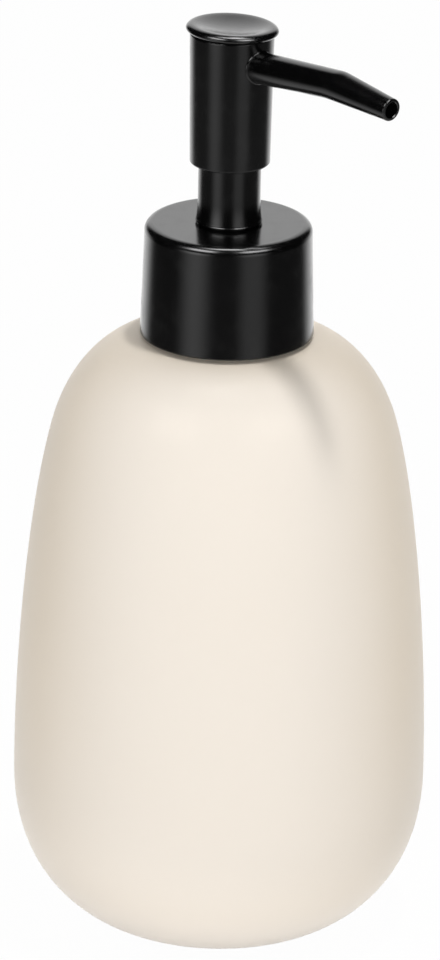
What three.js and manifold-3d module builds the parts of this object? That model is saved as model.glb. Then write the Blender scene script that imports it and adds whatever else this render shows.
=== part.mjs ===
// Soap pump dispenser: a glazed stoneware bottle with a screwed lotion pump.
// Millimetres, +Z up. The origin is the centre of the bottle's flat base, and the spout points along +X.
import * as THREE from 'three';
import { mergeVertices } from 'three/addons/utils/BufferGeometryUtils.js';
import Module from 'manifold-3d';

const wasm = await Module();
wasm.setup();

// ---------------------------------------------------------------- driving dimensions

// Bottle
const BELLY_RADIUS = 40.87;
const BELLY_HEIGHT = 31.2;
const FOOT_RADIUS = 17.3;
const SHOULDER_RADIUS = 34.0;
const SHOULDER_DROP = 18.8; // from the rim down to where the flank turns into the shoulder
const SHOULDER_LEAN = THREE.MathUtils.degToRad(14.7);
const RIM_HEIGHT = 122.4;
const FOOT_PULL = 0.266; // how far each curve holds its tangent, as a share of its span
const HEEL_PULL = 0.775;
const FLANK_PULL = 0.366;
const SHOULDER_PULL_DOWN = 0.226;
const SHOULDER_PULL_UP = 0.567;
const RIM_PULL = 0.507;
const BOTTLE_WALL = 4.2;
const BOTTLE_FLOOR = 5.0;

// Clearances
const GLUE_GAP = 0.25;
const FIT_GAP = 0.2; // between pieces that are pressed or snapped together
const RUN_GAP = 0.3; // between pieces that move past each other
const SEAL_GAP = 0.1; // between a seal and what it wipes

// Stem, hub and guide sleeve, from the axis outwards
const STEM_BORE_RADIUS = 2.3;
const STEM_WALL = 1.5;
const HUB_WALL = 0.9;
const SLEEVE_WALL = 0.9;
const SLEEVE_STEP = 0.2; // the sleeve's shank is this much slimmer than its visible part
const SLEEVE_SHANK = 14.7;
const SLEEVE_LIP = 3.0;
const SLEEVE_FOOT = 0.25; // how far the flared foot stands out
const SLEEVE_FOOT_HEIGHT = 3.4;
const SLEEVE_GAP = 0.5; // between the collar's top and the foot
const SLEEVE_SHOWN = 12.35; // between the collar's top and the head

// Pump housing and the valve under it
const CYLINDER_LEDGE = 0.5;
const HOUSING_WALL = 1.2;
const HOUSING_FLANGE = 1.6;
const TRAVEL_STOP = 1.35; // left over the collar when the head is down
const STEM_SHOULDER = 2.5;
const STEM_TAIL = 6.2;
const PISTON_LAG = 1.0;
const PISTON_HEIGHT = 5.0;
const PISTON_WAIST = 0.6;
const SEAT_THICKNESS = 2.2;
const SPRING_PRESSED = 8.7;
const SPRING_WIRE = 0.9;
const SPRING_TURNS = 7;
const CAGE_THICKNESS = 2.0;
const BALL_RADIUS = 2.5;
const BALL_LIFT = 1.5;
const BALL_ROOM = 0.9;
const INLET_RADIUS = 1.7;
const INLET_LENGTH = 2.0;
const TUBE_RADIUS = 3.0;
const TUBE_WALL = 1.0;
const TUBE_SOCKET = 12.0;
const TUBE_FOOT_GAP = 3.0;

// Neck ring, closure and collar
const NECK_GAP = 3.1; // round the housing
const NECK_PLUG_WALL = 1.75;
const NECK_PLUG_DEPTH = 12.0;
const NECK_WALL = 2.15;
const NECK_HEIGHT = 17.0;
const NECK_FLANGE = 1.5;
const THREAD_DEPTH = 1.2;
const THREAD_LEAD = 4.23;
const THREAD_TURNS = 1.5;
const THREAD_ROOT = 2.2;
const THREAD_CREST = 1.0;
const THREAD_GAP = 0.35;
const GASKET_THICKNESS = 1.1;
const CLOSURE_WALL = 0.9;
const CLOSURE_PANEL = 1.6;
const CLOSURE_RIBS = 24;
const SHELL_WALL = 1.1;
const SHELL_TAPER = 0.66;
const SHELL_TOP = 1.48;
const SHELL_FILLET = 1.7;
const SHELL_HOVER = 0.65; // over the bottle's shoulder

// Head
const HEAD_HEIGHT = 26.2;
const HEAD_WALL = 1.23;
const HEAD_TAPER = 0.37;
const HEAD_EDGE = 0.4;
const DISC_OVERHANG = 0.8;
const DISC_THICKNESS = 1.35;
const DISC_ROUND = 1.2; // of its upper edge
const DISC_LIFT = 0.25;
const DISC_PLUG = 1.0;
const DISC_DISH = 0.95;

// Spout
const SPOUT_DROP = 5.85; // its axis below the head's top edge, on the head's axis
const SPOUT_ROOT_RADIUS = 3.15;
const SPOUT_BEND_RADIUS = 2.93;
const SPOUT_TIP_RADIUS = 2.25;
const SPOUT_BORE_RADIUS = 1.55;
const SPOUT_FIRST_LENGTH = 29.1; // from the head's axis to the bend
const SPOUT_LAST_LENGTH = 15.55;
const SPOUT_RISE = THREE.MathUtils.degToRad(4.9);
const SPOUT_BEND = THREE.MathUtils.degToRad(9.2);
const SPOUT_CREASE_SLANT = 0.68; // the crease leans this much per unit of height
const NIPPLE_RADIUS = 2.1;

// ---------------------------------------------------------------- sizes that follow

const stemRadius = STEM_BORE_RADIUS + STEM_WALL;
const hubBoreRadius = stemRadius + FIT_GAP;
const hubRadius = hubBoreRadius + HUB_WALL;
const sleeveBoreRadius = hubRadius + RUN_GAP;
const sleeveRadius = sleeveBoreRadius + SLEEVE_WALL;
const shankRadius = sleeveRadius - SLEEVE_STEP;
const cylinderRadius = shankRadius - CYLINDER_LEDGE;
const slideRadius = STEM_BORE_RADIUS + RUN_GAP;
const coilRadius = cylinderRadius - 2 * SPRING_WIRE - FIT_GAP;
const housingTopBore = shankRadius + FIT_GAP;
const housingTopRadius = housingTopBore + HOUSING_WALL;
const neckBoreRadius = housingTopRadius + NECK_GAP;
const neckPlugRadius = neckBoreRadius + NECK_PLUG_WALL;
const mouthRadius = neckPlugRadius + GLUE_GAP;
const threadRootRadius = neckBoreRadius + NECK_WALL;
const threadRadius = threadRootRadius + THREAD_DEPTH;
const neckFlangeRadius = threadRadius + THREAD_DEPTH / 2;
const rimRadius = neckFlangeRadius + RUN_GAP;
const closureBoreRadius = threadRadius + THREAD_GAP;
const closureRadius = closureBoreRadius + CLOSURE_WALL;
const shellTopRadius = closureRadius + GLUE_GAP + SHELL_WALL;
const shellRadius = shellTopRadius + SHELL_TAPER;
const shellHoleRadius = shankRadius + FIT_GAP;
const headBoreRadius = sleeveRadius + FIT_GAP + RUN_GAP;
const headRadius = headBoreRadius + HEAD_WALL;
const headTopRadius = headRadius + HEAD_TAPER;
const discRadius = headTopRadius + DISC_OVERHANG;

const neckTop = RIM_HEIGHT + NECK_HEIGHT;
const flangeBottom = neckTop + GASKET_THICKNESS;
const flangeTop = flangeBottom + HOUSING_FLANGE;
const closureTop = flangeTop + RUN_GAP + CLOSURE_PANEL;
const collarTop = closureTop + FIT_GAP + SHELL_TOP;
const sleeveBottom = collarTop - SLEEVE_SHANK;
const stroke = SLEEVE_SHOWN - TRAVEL_STOP;
const headBottom = collarTop + SLEEVE_SHOWN;
const headTop = headBottom + HEAD_HEIGHT;
const spoutHeight = headTop - SPOUT_DROP;
const sleeveTop = spoutHeight - SPOUT_ROOT_RADIUS - stroke - SEAL_GAP;
const stemTop = spoutHeight - 2 * SPOUT_ROOT_RADIUS;
const hubBottom = sleeveTop - CYLINDER_LEDGE - stemRadius;
const stemShoulderTop = sleeveBottom - RUN_GAP;
const stemBottom = stemShoulderTop - STEM_TAIL;
const pistonTop = stemBottom - PISTON_LAG - FIT_GAP;
const pistonBottom = pistonTop - PISTON_HEIGHT;
const seatTop = pistonBottom - SEAL_GAP;
const seatBottom = seatTop - SEAT_THICKNESS;
const cageTop = seatBottom - stroke - SPRING_PRESSED;
const cageBottom = cageTop - CAGE_THICKNESS;
const ballHeight = cageBottom - RUN_GAP - BALL_LIFT - BALL_RADIUS;
const chamberRadius = BALL_RADIUS + BALL_ROOM;
const coneBottom = ballHeight - (Math.SQRT2 * (BALL_RADIUS + SEAL_GAP) - INLET_RADIUS);
const socketTop = coneBottom - INLET_LENGTH;
const housingBottom = socketTop - TUBE_SOCKET;

// ---------------------------------------------------------------- shape helpers

const FINE = 36;
const COARSE = 20;

// A closed three.js geometry as a solid, with its faces turned outwards.
function solidOf(geometry) {
  const bare = new THREE.BufferGeometry();
  bare.setAttribute('position', geometry.getAttribute('position'));
  bare.setIndex(geometry.getIndex());
  const merged = mergeVertices(bare, 1e-4);
  const points = Float32Array.from(merged.getAttribute('position').array);
  const corners = wholeTriangles(merged.getIndex().array);
  if (signedVolume(points, corners) < 0) {
    corners.reverse();
  }
  const triVerts = Uint32Array.from(corners);
  return new wasm.Manifold(new wasm.Mesh({ numProp: 3, vertProperties: points, triVerts }));
}

// The triangles whose three corners differ.
function wholeTriangles(index) {
  const kept = [];
  for (let i = 0; i < index.length; i += 3) {
    const [a, b, c] = [index[i], index[i + 1], index[i + 2]];
    if (a !== b && b !== c && c !== a) {
      kept.push(a, b, c);
    }
  }
  return kept;
}

function signedVolume(points, corners) {
  const [a, b, c] = [new THREE.Vector3(), new THREE.Vector3(), new THREE.Vector3()];
  let total = 0;
  for (let i = 0; i < corners.length; i += 3) {
    a.fromArray(points, 3 * corners[i]);
    b.fromArray(points, 3 * corners[i + 1]);
    c.fromArray(points, 3 * corners[i + 2]);
    total += a.dot(b.cross(c)) / 6;
  }
  return total;
}

function geometryOf(solid) {
  const { vertProperties, triVerts } = solid.getMesh();
  const geometry = new THREE.BufferGeometry();
  geometry.setAttribute('position', new THREE.BufferAttribute(Float32Array.from(vertProperties), 3));
  geometry.setIndex(Array.from(triVerts));
  geometry.computeVertexNormals();
  return geometry;
}

// A solid turned about Z from a profile of (radius, height) points.
function turned(points, segments = FINE) {
  const lathe = new THREE.LatheGeometry(points, segments);
  lathe.rotateX(Math.PI / 2);
  return solidOf(lathe);
}

// A ring's profile from its path, closed on its first point.
function closedProfile(path, curveSteps = 5) {
  const points = path.getPoints(curveSteps);
  points.push(points[0].clone());
  return points;
}

function pathThrough(corners) {
  const path = new THREE.Path();
  path.moveTo(...corners[0]);
  for (const corner of corners.slice(1)) {
    path.lineTo(...corner);
  }
  return path;
}

// A plain ring, of rectangular section.
function ring(inner, outer, bottom, top, segments = FINE) {
  const section = [[inner, bottom], [outer, bottom], [outer, top], [inner, top]];
  return turned(closedProfile(pathThrough(section)), segments);
}

// A bar of the given section, bent vertex by vertex: place() gets z from 0 to 1 along the bar.
function bentBar(section, steps, place) {
  const options = { depth: 1, steps, bevelEnabled: false, curveSegments: 4 };
  const bar = new THREE.ExtrudeGeometry(section, options);
  const position = bar.getAttribute('position');
  const point = new THREE.Vector3();
  for (let i = 0; i < position.count; i++) {
    point.fromBufferAttribute(position, i);
    place(point);
    position.setXYZ(i, point.x, point.y, point.z);
  }
  return solidOf(bar);
}

// A thread's ridge on a root cylinder. side is 1 for an outside thread and -1 for an inside one.
function threadRidge(rootRadius, startHeight, side) {
  const embed = 0.3;
  const runOut = 0.1; // share of a turn over which the crest rises from the root
  const section = new THREE.Shape([
    new THREE.Vector2(-embed, -THREAD_ROOT / 2),
    new THREE.Vector2(0, -THREAD_ROOT / 2),
    new THREE.Vector2(THREAD_DEPTH, -THREAD_CREST / 2),
    new THREE.Vector2(THREAD_DEPTH, THREAD_CREST / 2),
    new THREE.Vector2(0, THREAD_ROOT / 2),
    new THREE.Vector2(-embed, THREAD_ROOT / 2),
  ]);
  return bentBar(section, 16 * THREAD_TURNS, (point) => {
    const turn = point.z * THREAD_TURNS;
    const nearEnd = Math.min(turn, THREAD_TURNS - turn) / runOut;
    const height = point.x > 0 ? point.x * Math.min(1, 0.1 + nearEnd) : point.x;
    const radius = rootRadius + side * height;
    const angle = 2 * Math.PI * turn;
    point.set(
      radius * Math.cos(angle),
      radius * Math.sin(angle),
      startHeight + point.y + THREAD_LEAD * turn,
    );
  });
}

// A cylinder along the spout's first axis, between two distances from the head's axis.
function spoutBar(radius, from, to) {
  const bar = new THREE.CylinderGeometry(radius, radius, to - from, COARSE);
  bar.rotateZ(-Math.PI / 2);
  bar.translate((from + to) / 2, 0, 0);
  bar.rotateY(-SPOUT_RISE);
  bar.translate(0, 0, spoutHeight);
  return solidOf(bar);
}

// ---------------------------------------------------------------- bottle

// The outside of the bottle from the edge of its foot to its flat rim.
function bottleOutline() {
  const shoulderHeight = RIM_HEIGHT - SHOULDER_DROP;
  const flank = shoulderHeight - BELLY_HEIGHT;
  const lean = new THREE.Vector2(-Math.sin(SHOULDER_LEAN), Math.cos(SHOULDER_LEAN));
  const shoulder = new THREE.Vector2(SHOULDER_RADIUS, shoulderHeight);
  const below = shoulder.clone().addScaledVector(lean, -SHOULDER_PULL_DOWN * flank);
  const above = shoulder.clone().addScaledVector(lean, SHOULDER_PULL_UP * SHOULDER_DROP);
  const footPull = FOOT_RADIUS + FOOT_PULL * (BELLY_RADIUS - FOOT_RADIUS);
  const heelPull = (1 - HEEL_PULL) * BELLY_HEIGHT;
  const bellyPull = BELLY_HEIGHT + FLANK_PULL * flank;
  const rimPull = rimRadius + RIM_PULL * (SHOULDER_RADIUS - rimRadius);
  const path = new THREE.Path();
  path.moveTo(FOOT_RADIUS, 0);
  path.bezierCurveTo(footPull, 0, BELLY_RADIUS, heelPull, BELLY_RADIUS, BELLY_HEIGHT);
  path.bezierCurveTo(BELLY_RADIUS, bellyPull, below.x, below.y, shoulder.x, shoulder.y);
  path.bezierCurveTo(above.x, above.y, rimPull, RIM_HEIGHT, rimRadius, RIM_HEIGHT);
  return path;
}

// The same outline moved inwards by the wall, above the floor.
function bottleInside() {
  const points = bottleOutline().getPoints(4);
  const inside = [];
  for (let i = 1; i < points.length - 1; i++) {
    const along = points[i + 1].clone().sub(points[i - 1]).normalize();
    const inwards = new THREE.Vector2(-along.y, along.x);
    const point = points[i].clone().addScaledVector(inwards, BOTTLE_WALL);
    if (point.y > BOTTLE_FLOOR && point.x > mouthRadius) {
      inside.push(point);
    }
  }
  return inside;
}

function makeBottle() {
  const inside = bottleInside();
  const floorEdge = new THREE.Vector2(inside[0].x - BOTTLE_WALL / 2, BOTTLE_FLOOR);
  const profile = [
    new THREE.Vector2(0, 0),
    ...bottleOutline().getPoints(6),
    new THREE.Vector2(mouthRadius, RIM_HEIGHT),
    new THREE.Vector2(mouthRadius, RIM_HEIGHT - BOTTLE_WALL),
    ...inside.reverse(),
    floorEdge,
    new THREE.Vector2(0, BOTTLE_FLOOR),
  ];
  return turned(profile);
}

// ---------------------------------------------------------------- neck, closure and collar

const maleThreadStart = neckTop - THREAD_ROOT - THREAD_LEAD * THREAD_TURNS - THREAD_CREST;
const flankGap = (THREAD_ROOT - THREAD_CREST) * (THREAD_GAP / THREAD_DEPTH);
const threadsApart = (THREAD_ROOT + THREAD_CREST - flankGap) / 2 + RUN_GAP;

function makeNeckRing() {
  const body = turned(closedProfile(pathThrough([
    [neckBoreRadius, RIM_HEIGHT - NECK_PLUG_DEPTH],
    [neckPlugRadius, RIM_HEIGHT - NECK_PLUG_DEPTH],
    [neckPlugRadius, RIM_HEIGHT],
    [neckFlangeRadius, RIM_HEIGHT],
    [neckFlangeRadius, RIM_HEIGHT + NECK_FLANGE],
    [threadRootRadius, RIM_HEIGHT + NECK_FLANGE],
    [threadRootRadius, neckTop - NECK_FLANGE / 2],
    [threadRootRadius - NECK_FLANGE / 2, neckTop],
    [neckBoreRadius, neckTop],
  ])));
  return body.add(threadRidge(threadRootRadius, maleThreadStart, 1));
}

function makeNeckGasket() {
  return ring(housingTopRadius + RUN_GAP, threadRootRadius + RUN_GAP, neckTop, flangeBottom);
}

function makeClosure() {
  const skirtBottom = RIM_HEIGHT + NECK_FLANGE + 2 * RUN_GAP;
  const panelBottom = closureTop - CLOSURE_PANEL;
  const body = turned(closedProfile(pathThrough([
    [closureBoreRadius, skirtBottom],
    [closureRadius, skirtBottom],
    [closureRadius, closureTop - CLOSURE_PANEL / 3],
    [closureRadius - CLOSURE_PANEL / 3, closureTop],
    [shellHoleRadius, closureTop],
    [shellHoleRadius, panelBottom],
    [closureBoreRadius, panelBottom],
  ])));
  const thread = threadRidge(closureBoreRadius, maleThreadStart - threadsApart, -1);
  return body.add(thread).subtract(gripGrooves(skirtBottom, panelBottom));
}

// The upright grooves between the closure's grip ribs, as one ring of bars.
function gripGrooves(bottom, top) {
  const depth = CLOSURE_WALL / 3;
  let grooves = null;
  for (let i = 0; i < CLOSURE_RIBS; i++) {
    const bar = new THREE.BoxGeometry(2 * depth, 2 * depth, top - bottom);
    bar.translate(closureRadius, 0, (top + bottom) / 2);
    bar.rotateZ((2 * Math.PI * (i + 0.5)) / CLOSURE_RIBS);
    const groove = solidOf(bar);
    grooves = grooves ? grooves.add(groove) : groove;
  }
  return grooves;
}

function makeCollarShell() {
  const bottom = RIM_HEIGHT + SHELL_HOVER;
  const path = new THREE.Path();
  path.moveTo(shellRadius - SHELL_WALL, bottom);
  path.lineTo(shellRadius - SHELL_WALL / 4, bottom);
  path.lineTo(shellRadius, bottom + SHELL_WALL / 4);
  path.lineTo(shellTopRadius, collarTop - SHELL_FILLET);
  path.absarc(shellTopRadius - SHELL_FILLET, collarTop - SHELL_FILLET, SHELL_FILLET, 0, Math.PI / 2, false);
  path.lineTo(shellHoleRadius, collarTop);
  path.lineTo(shellHoleRadius, collarTop - SHELL_TOP);
  path.lineTo(shellTopRadius - SHELL_WALL, collarTop - SHELL_TOP);
  return turned(closedProfile(path));
}

function makeGuideSleeve() {
  const foot = collarTop + SLEEVE_GAP;
  const footRadius = sleeveRadius + SLEEVE_FOOT;
  const path = new THREE.Path();
  path.moveTo(stemRadius + RUN_GAP, sleeveBottom);
  path.lineTo(shankRadius, sleeveBottom);
  path.lineTo(shankRadius, foot);
  path.lineTo(footRadius, foot);
  path.lineTo(footRadius, foot + SLEEVE_FOOT);
  path.quadraticCurveTo(sleeveRadius, foot + 2 * SLEEVE_FOOT, sleeveRadius, foot + SLEEVE_FOOT_HEIGHT);
  path.lineTo(sleeveRadius, sleeveTop - SLEEVE_FOOT);
  path.lineTo(sleeveRadius - SLEEVE_FOOT, sleeveTop);
  path.lineTo(sleeveBoreRadius, sleeveTop);
  path.lineTo(sleeveBoreRadius, sleeveBottom + SLEEVE_LIP);
  path.lineTo(stemRadius + RUN_GAP, sleeveBottom + SLEEVE_LIP);
  return turned(closedProfile(path, 3));
}

// ---------------------------------------------------------------- pump

function makePumpHousing() {
  const ledge = sleeveBottom - RUN_GAP;
  const cylinderOuter = cylinderRadius + HOUSING_WALL;
  const socketBore = TUBE_RADIUS + SEAL_GAP;
  const socketOuter = socketBore + HOUSING_WALL;
  const flangeRadius = threadRootRadius + RUN_GAP;
  return turned(closedProfile(pathThrough([
    [housingTopBore, flangeTop],
    [flangeRadius, flangeTop],
    [flangeRadius, flangeBottom],
    [housingTopRadius, flangeBottom],
    [housingTopRadius, ledge - HOUSING_WALL],
    [cylinderOuter, ledge - 2 * HOUSING_WALL],
    [cylinderOuter, cageBottom - HOUSING_WALL],
    [chamberRadius + HOUSING_WALL, cageBottom - 2 * HOUSING_WALL],
    [socketOuter, coneBottom],
    [socketOuter, housingBottom],
    [socketBore, housingBottom],
    [socketBore, socketTop],
    [INLET_RADIUS, socketTop],
    [INLET_RADIUS, coneBottom],
    [chamberRadius, coneBottom + chamberRadius - INLET_RADIUS],
    [chamberRadius, cageBottom],
    [cylinderRadius, cageBottom],
    [cylinderRadius, ledge],
    [housingTopBore, ledge],
  ])));
}

// The disc over the ball chamber, which the spring stands on and the soap flows through.
function makeBallCage() {
  const radius = cylinderRadius - FIT_GAP;
  const holes = 4;
  const holeRadius = radius / 4.5;
  let disc = turned([
    new THREE.Vector2(0, cageBottom),
    new THREE.Vector2(radius, cageBottom),
    new THREE.Vector2(radius, cageTop),
    new THREE.Vector2(0, cageTop),
  ]);
  for (let i = 0; i < holes; i++) {
    const bar = new THREE.CylinderGeometry(holeRadius, holeRadius, 3 * CAGE_THICKNESS, 12);
    bar.rotateX(Math.PI / 2);
    bar.translate(radius / 2, 0, (cageTop + cageBottom) / 2);
    bar.rotateZ((2 * Math.PI * i) / holes);
    disc = disc.subtract(solidOf(bar));
  }
  return disc;
}

function makeInletBall() {
  const ball = new THREE.SphereGeometry(BALL_RADIUS, 20, 12);
  ball.rotateX(Math.PI / 2);
  ball.translate(0, 0, ballHeight);
  return solidOf(ball);
}

function makeReturnSpring() {
  const wireRadius = SPRING_WIRE / 2;
  const closedPitch = SPRING_WIRE + SEAL_GAP;
  const bottom = cageTop + wireRadius;
  const openTurns = SPRING_TURNS - 2;
  const openPitch = (seatBottom - SEAL_GAP - cageTop - SPRING_WIRE - 2 * closedPitch) / openTurns;
  const section = new THREE.Shape();
  section.absarc(0, 0, wireRadius, 0, 2 * Math.PI, false);
  return bentBar(section, 12 * SPRING_TURNS, (point) => {
    const turn = point.z * SPRING_TURNS;
    const open = THREE.MathUtils.clamp(turn - 1, 0, openTurns);
    const rise = closedPitch * (turn - open) + openPitch * open;
    const angle = 2 * Math.PI * turn;
    const radius = coilRadius + point.x;
    point.set(radius * Math.cos(angle), radius * Math.sin(angle), bottom + rise + point.y);
  });
}

function makeDipTube() {
  const bottom = BOTTLE_FLOOR + TUBE_FOOT_GAP;
  const top = socketTop - SEAL_GAP;
  const tube = ring(TUBE_RADIUS - TUBE_WALL, TUBE_RADIUS, bottom, top, COARSE);
  const slant = new THREE.BoxGeometry(6 * TUBE_RADIUS, 6 * TUBE_RADIUS, 2 * TUBE_RADIUS);
  slant.translate(0, 0, -TUBE_RADIUS);
  slant.rotateY(Math.PI / 6);
  slant.translate(0, 0, bottom + TUBE_RADIUS * Math.tan(Math.PI / 6));
  return tube.subtract(solidOf(slant));
}

// The fluted pin that carries the piston: its top stands in the stem, and the spring lifts its seat.
function makeStemCore() {
  const pinRadius = STEM_BORE_RADIUS - FIT_GAP;
  const pinTop = stemShoulderTop + 2 * STEM_SHOULDER;
  const seatRadius = cylinderRadius - 2 * PISTON_WAIST;
  const spigotRadius = coilRadius - SPRING_WIRE;
  const spigotBottom = seatBottom - 2 * SEAT_THICKNESS;
  let core = turned([
    new THREE.Vector2(0, spigotBottom),
    new THREE.Vector2(spigotRadius, spigotBottom),
    new THREE.Vector2(spigotRadius, seatBottom),
    new THREE.Vector2(seatRadius, seatBottom),
    new THREE.Vector2(seatRadius, seatTop),
    new THREE.Vector2(slideRadius, seatTop),
    new THREE.Vector2(slideRadius, stemBottom - SEAL_GAP),
    new THREE.Vector2(pinRadius, stemBottom - SEAL_GAP),
    new THREE.Vector2(pinRadius, pinTop),
    new THREE.Vector2(0, pinTop),
  ], COARSE);
  const flutes = 3;
  for (let i = 0; i < flutes; i++) {
    const flute = new THREE.BoxGeometry(slideRadius, pinRadius / 2, pinTop - seatTop + 2);
    flute.translate((pinRadius + slideRadius) / 2, 0, (pinTop + seatTop) / 2 + 1);
    flute.rotateZ((2 * Math.PI * i) / flutes);
    core = core.subtract(solidOf(flute));
  }
  return core;
}

function makePiston() {
  const lip = cylinderRadius - SEAL_GAP;
  const waist = lip - PISTON_WAIST;
  const bore = slideRadius + FIT_GAP;
  const lipHeight = PISTON_HEIGHT / 4;
  return turned(closedProfile(pathThrough([
    [bore, pistonBottom],
    [waist, pistonBottom],
    [lip, pistonBottom + lipHeight / 2],
    [lip, pistonBottom + lipHeight],
    [waist, pistonBottom + 1.5 * lipHeight],
    [waist, pistonTop - 1.5 * lipHeight],
    [lip, pistonTop - lipHeight],
    [lip, pistonTop - lipHeight / 2],
    [waist, pistonTop],
    [bore, pistonTop],
  ])));
}

function makeStem() {
  const shoulderRadius = cylinderRadius - CYLINDER_LEDGE;
  return turned(closedProfile(pathThrough([
    [STEM_BORE_RADIUS, stemBottom],
    [stemRadius, stemBottom],
    [stemRadius, stemShoulderTop - STEM_SHOULDER],
    [shoulderRadius, stemShoulderTop - STEM_SHOULDER / 2],
    [shoulderRadius, stemShoulderTop],
    [stemRadius, stemShoulderTop],
    [stemRadius, stemTop],
    [STEM_BORE_RADIUS, stemTop],
  ])), COARSE);
}

// ---------------------------------------------------------------- head

const hubTop = headTop - DISC_PLUG - SEAL_GAP;

// The hub grips the stem's top and leads the soap sideways into the spout.
function makeHeadHub() {
  const flange = HUB_WALL;
  const channelTop = spoutHeight + STEM_BORE_RADIUS / 2;
  const hub = turned([
    new THREE.Vector2(0, channelTop),
    new THREE.Vector2(STEM_BORE_RADIUS, channelTop),
    new THREE.Vector2(STEM_BORE_RADIUS, stemTop + SEAL_GAP),
    new THREE.Vector2(hubBoreRadius, stemTop + SEAL_GAP),
    new THREE.Vector2(hubBoreRadius, hubBottom),
    new THREE.Vector2(hubRadius, hubBottom),
    new THREE.Vector2(hubRadius, hubTop - flange),
    new THREE.Vector2(headBoreRadius - FIT_GAP, hubTop - flange),
    new THREE.Vector2(headBoreRadius - FIT_GAP, hubTop),
    new THREE.Vector2(0, hubTop),
  ]);
  return hub.subtract(spoutBar(NIPPLE_RADIUS + FIT_GAP, SPOUT_BORE_RADIUS / 2, hubRadius + 1));
}

function makeHeadTube() {
  const path = new THREE.Path();
  path.moveTo(headBoreRadius, headBottom);
  path.lineTo(headRadius - HEAD_EDGE, headBottom);
  path.absarc(headRadius - HEAD_EDGE, headBottom + HEAD_EDGE, HEAD_EDGE, -Math.PI / 2, 0, false);
  path.lineTo(headTopRadius, headTop - HEAD_EDGE);
  path.absarc(headTopRadius - HEAD_EDGE, headTop - HEAD_EDGE, HEAD_EDGE, 0, Math.PI / 2, false);
  path.lineTo(headBoreRadius, headTop);
  const tube = turned(closedProfile(path, 3));
  return tube.subtract(spoutBar(SPOUT_ROOT_RADIUS + FIT_GAP, hubRadius, headTopRadius + HEAD_WALL));
}

function makeThumbDisc() {
  const neckRadius = headBoreRadius + HEAD_WALL / 2;
  const underside = headTop + DISC_LIFT;
  const crest = underside + DISC_THICKNESS;
  const face = discRadius - DISC_ROUND;
  const path = new THREE.Path();
  path.moveTo(0, headTop - DISC_PLUG);
  path.lineTo(headBoreRadius - FIT_GAP, headTop - DISC_PLUG);
  path.lineTo(headBoreRadius - FIT_GAP, headTop);
  path.lineTo(neckRadius, headTop);
  path.lineTo(neckRadius, underside);
  path.lineTo(discRadius, underside);
  path.absarc(face, crest - DISC_ROUND, DISC_ROUND, 0, Math.PI / 2, false);
  path.bezierCurveTo(
    face - DISC_ROUND / 2, crest, discRadius / 2, crest - DISC_DISH, 0, crest - DISC_DISH,
  );
  return turned(path.getPoints(4));
}

// The spout is turned straight along X and then creased downwards.
function makeSpout() {
  const rootStart = headBoreRadius + FIT_GAP;
  const nippleStart = (STEM_BORE_RADIUS + hubRadius) / 2;
  const tip = SPOUT_FIRST_LENGTH + SPOUT_LAST_LENGTH;
  const edge = SPOUT_TIP_RADIUS / 10;
  const profile = closedProfile(pathThrough([
    [SPOUT_BORE_RADIUS, nippleStart],
    [SPOUT_BORE_RADIUS, SPOUT_FIRST_LENGTH],
    [SPOUT_BORE_RADIUS, tip],
    [SPOUT_TIP_RADIUS - edge, tip],
    [SPOUT_TIP_RADIUS, tip - edge],
    [SPOUT_BEND_RADIUS, SPOUT_FIRST_LENGTH],
    [SPOUT_ROOT_RADIUS, rootStart],
    [NIPPLE_RADIUS, rootStart],
    [NIPPLE_RADIUS, nippleStart],
  ]));
  const straight = new THREE.LatheGeometry(profile, COARSE);
  straight.rotateZ(-Math.PI / 2);
  creaseAtBend(straight);
  straight.rotateY(-SPOUT_RISE);
  straight.translate(0, 0, spoutHeight);
  return solidOf(straight);
}

// Leans the vertices at the bend along the crease, and turns those past it downwards.
function creaseAtBend(geometry) {
  const position = geometry.getAttribute('position');
  for (let i = 0; i < position.count; i++) {
    const [x, z] = [position.getX(i), position.getZ(i)];
    const past = x - SPOUT_FIRST_LENGTH;
    if (Math.abs(past) < 1e-3) {
      position.setX(i, x + SPOUT_CREASE_SLANT * z);
    } else if (past > 0) {
      position.setX(i, SPOUT_FIRST_LENGTH + past * Math.cos(SPOUT_BEND) + z * Math.sin(SPOUT_BEND));
      position.setZ(i, z * Math.cos(SPOUT_BEND) - past * Math.sin(SPOUT_BEND));
    }
  }
}

// ---------------------------------------------------------------- materials and assembly

function finish(color, roughness, metalness = 0) {
  return new THREE.MeshStandardMaterial({ color, roughness, metalness });
}

const stoneware = () => finish(0xf3ebe0, 0.7);
const blackPlastic = () => finish(0x101010, 0.35);
const naturalPlastic = () => finish(0xe9e8e2, 0.45);
const sealPlastic = () => finish(0xd8d9d6, 0.6);
const springSteel = () => finish(0xb9bcc0, 0.3, 1);

const PIECES = [
  ['bottle', makeBottle, stoneware],
  ['neck_ring', makeNeckRing, naturalPlastic],
  ['neck_gasket', makeNeckGasket, sealPlastic],
  ['closure', makeClosure, naturalPlastic],
  ['collar_shell', makeCollarShell, blackPlastic],
  ['guide_sleeve', makeGuideSleeve, blackPlastic],
  ['pump_housing', makePumpHousing, naturalPlastic],
  ['ball_cage', makeBallCage, naturalPlastic],
  ['inlet_ball', makeInletBall, springSteel],
  ['return_spring', makeReturnSpring, springSteel],
  ['dip_tube', makeDipTube, naturalPlastic],
  ['stem_core', makeStemCore, naturalPlastic],
  ['piston', makePiston, sealPlastic],
  ['stem', makeStem, blackPlastic],
  ['head_hub', makeHeadHub, naturalPlastic],
  ['head_tube', makeHeadTube, blackPlastic],
  ['thumb_disc', makeThumbDisc, blackPlastic],
  ['spout', makeSpout, blackPlastic],
];

const dispenser = new THREE.Group();
for (const [name, make, material] of PIECES) {
  const piece = new THREE.Mesh(geometryOf(make()), material());
  piece.name = name;
  dispenser.add(piece);
}

export default dispenser;
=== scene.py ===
"""Surfaces, materials and studio for a stoneware soap bottle with a screwed lotion pump."""
import math

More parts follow.
